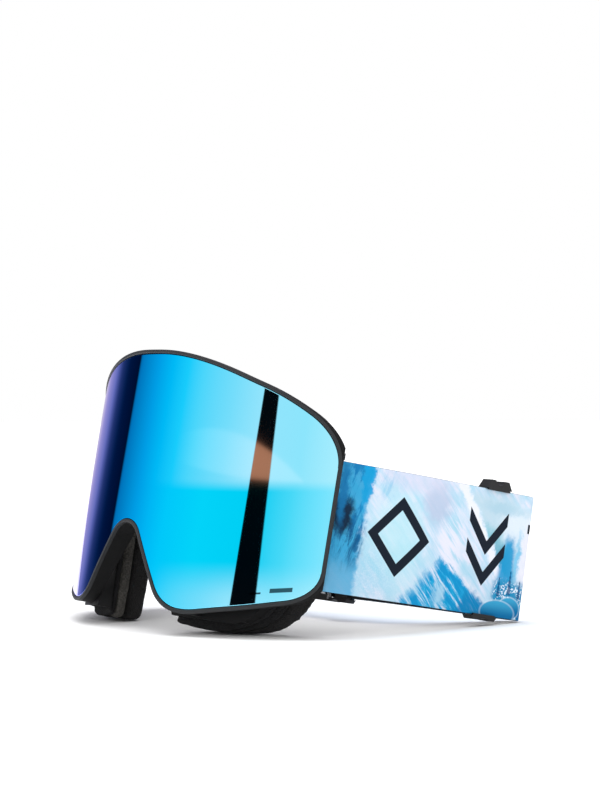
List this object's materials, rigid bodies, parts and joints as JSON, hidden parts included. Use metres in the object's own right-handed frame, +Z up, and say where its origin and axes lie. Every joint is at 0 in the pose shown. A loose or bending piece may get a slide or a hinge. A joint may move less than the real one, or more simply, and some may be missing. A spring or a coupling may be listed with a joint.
{
  "type": "ski goggles",
  "caption": "Ski goggles with a magnetic cylindrical mirrored lens, layered face foam and a printed elastic strap with adjusters, resting on a table.",
  "frame": {"origin": "on the table, under the middle of the whole part's box", "axes": "+X to the wearer's left, +Y from the lens towards the strap's fold, +Z up; the goggles lean back 11.5 degrees"},
  "size_m": [0.1628, 0.1512, 0.107],
  "materials": {
    "lens_mirror": "blue mirror-coated polycarbonate",
    "lens_clear": "clear anti-fog inner lens",
    "frame_plastic": "matte dark grey moulded plastic",
    "frame_soft": "matte black flexible moulding",
    "foam_dark": "fine dark foam",
    "foam_grey": "open-cell grey foam",
    "fleece": "short black fleece on foam",
    "vent_foam": "coarse filter foam",
    "gasket": "black rubber",
    "magnet": "nickel-plated",
    "steel": "brushed",
    "strap_print": "printed woven elastic, pale blue and azure",
    "strap_black": "black woven elastic",
    "silicone": "translucent silicone"
  },
  "bodies": {
    "root": {"frame": "frame_plastic", "frame_magnets": "magnet", "lens_gasket": "gasket", "face_frame": "frame_soft", "frame_screws": "steel", "top_vent_foam": "vent_foam", "bottom_vent_foam": "vent_foam", "foam_base": "foam_dark", "foam_mid": "foam_grey", "foam_back": "fleece", "strap_pin_left": "steel", "strap_pin_right": "steel", "strap_band": "strap_print", "strap_lining": "strap_black", "strap_tail_left": "strap_black", "strap_tail_right": "strap_black", "grip_strips": "silicone"},
    "lens": {"outer_lens": "lens_mirror", "lens_carrier": "frame_plastic", "carrier_magnets": "magnet", "lens_spacer": "foam_dark", "inner_lens": "lens_clear"},
    "slider_left": {"slider_left": "frame_plastic", "slider_bar_left": "steel"},
    "slider_right": {"slider_right": "frame_plastic", "slider_bar_right": "steel"}
  },
  "joints": [
    {"name": "lens_pull", "type": "slide", "parent": "root", "child": "lens", "axis": [0, -0.9799, 0.1994], "range_m": [0, 0.03]},
    {"name": "slider_left_slide", "type": "slide", "parent": "root", "child": "slider_left", "axis": [-0.1052, 0.9808, -0.1641], "range_m": [-0.022, 0.011], "deforming": ["strap_tail_left"]},
    {"name": "slider_right_slide", "type": "slide", "parent": "root", "child": "slider_right", "axis": [-0.9977, -0.0671, 0.0112], "range_m": [0, 0.05], "deforming": ["strap_tail_right"]}
  ]
}
